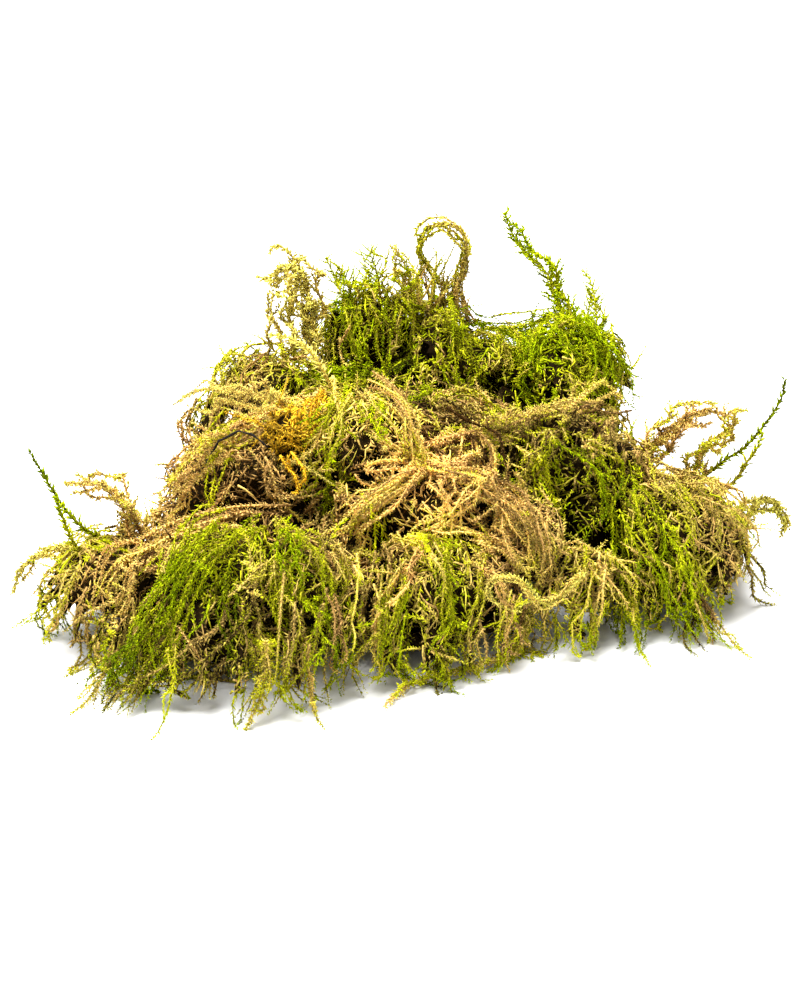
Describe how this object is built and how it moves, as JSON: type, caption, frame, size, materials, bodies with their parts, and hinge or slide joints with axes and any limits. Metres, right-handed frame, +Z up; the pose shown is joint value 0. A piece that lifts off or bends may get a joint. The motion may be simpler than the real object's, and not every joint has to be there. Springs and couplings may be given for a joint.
{
  "type": "moss clump",
  "caption": "Loose clump of dried sheet moss: a matted bed with draped green tufts and free curling shoots, flat underneath.",
  "frame": {"origin": "on the flat underside, below the middle of the bed", "axes": "+Z up, +X along the clump's length to the right as seen from its front, -Y towards its front"},
  "size_m": [0.1675, 0.1541, 0.0625],
  "materials": {
    "old_growth": "matte",
    "green_moss": "matte",
    "olive_moss": "matte",
    "straw_moss": "matte",
    "golden_moss": "matte",
    "pale_moss": "matte",
    "twig": "matte"
  },
  "bodies": {
    "root": {"crest_strand": "straw_moss", "dark_twig": "twig", "far_left_tip": "pale_moss", "far_right_tip": "pale_moss", "feather_arch": "pale_moss", "frond_tuft": "green_moss", "front_drip": "straw_moss", "front_fork": "straw_moss", "front_left_drip": "green_moss", "front_left_tuft": "green_moss", "front_middle_tuft": "green_moss", "front_trail": "straw_moss", "golden_tuft": "golden_moss", "hollow_stalk": "pale_moss", "inner_right_tuft": "green_moss", "left_bridge_strand": "straw_moss", "left_hanging_strand": "straw_moss", "left_long_shoot": "olive_moss", "left_shoulder_tuft": "olive_moss", "left_side_shoot": "olive_moss", "left_wing_strand": "straw_moss", "left_wing_tuft": "green_moss", "low_left_trail": "olive_moss", "lower_right_tuft": "green_moss", "old_growth": "old_growth", "pale_curl": "pale_moss", "rear_feather_shoot": "green_moss", "rear_feathery_shoot": "green_moss", "rear_inner_shoot": "olive_moss", "rear_left_curl": "pale_moss", "rear_left_tuft": "green_moss", "rear_low_curl": "pale_moss", "rear_middle_tuft": "olive_moss", "rear_right_tuft": "green_moss", "rear_ring_shoot": "olive_moss", "rear_tall_shoot": "green_moss", "rear_upright_shoot": "green_moss", "right_curl": "straw_moss", "right_drip": "green_moss", "right_long_shoot": "olive_moss", "right_side_shoot": "olive_moss", "right_trail": "olive_moss", "right_tuft": "green_moss", "right_wing_strand": "straw_moss", "straw_mound": "straw_moss", "upper_left_arch": "pale_moss"}
  },
  "joints": []
}
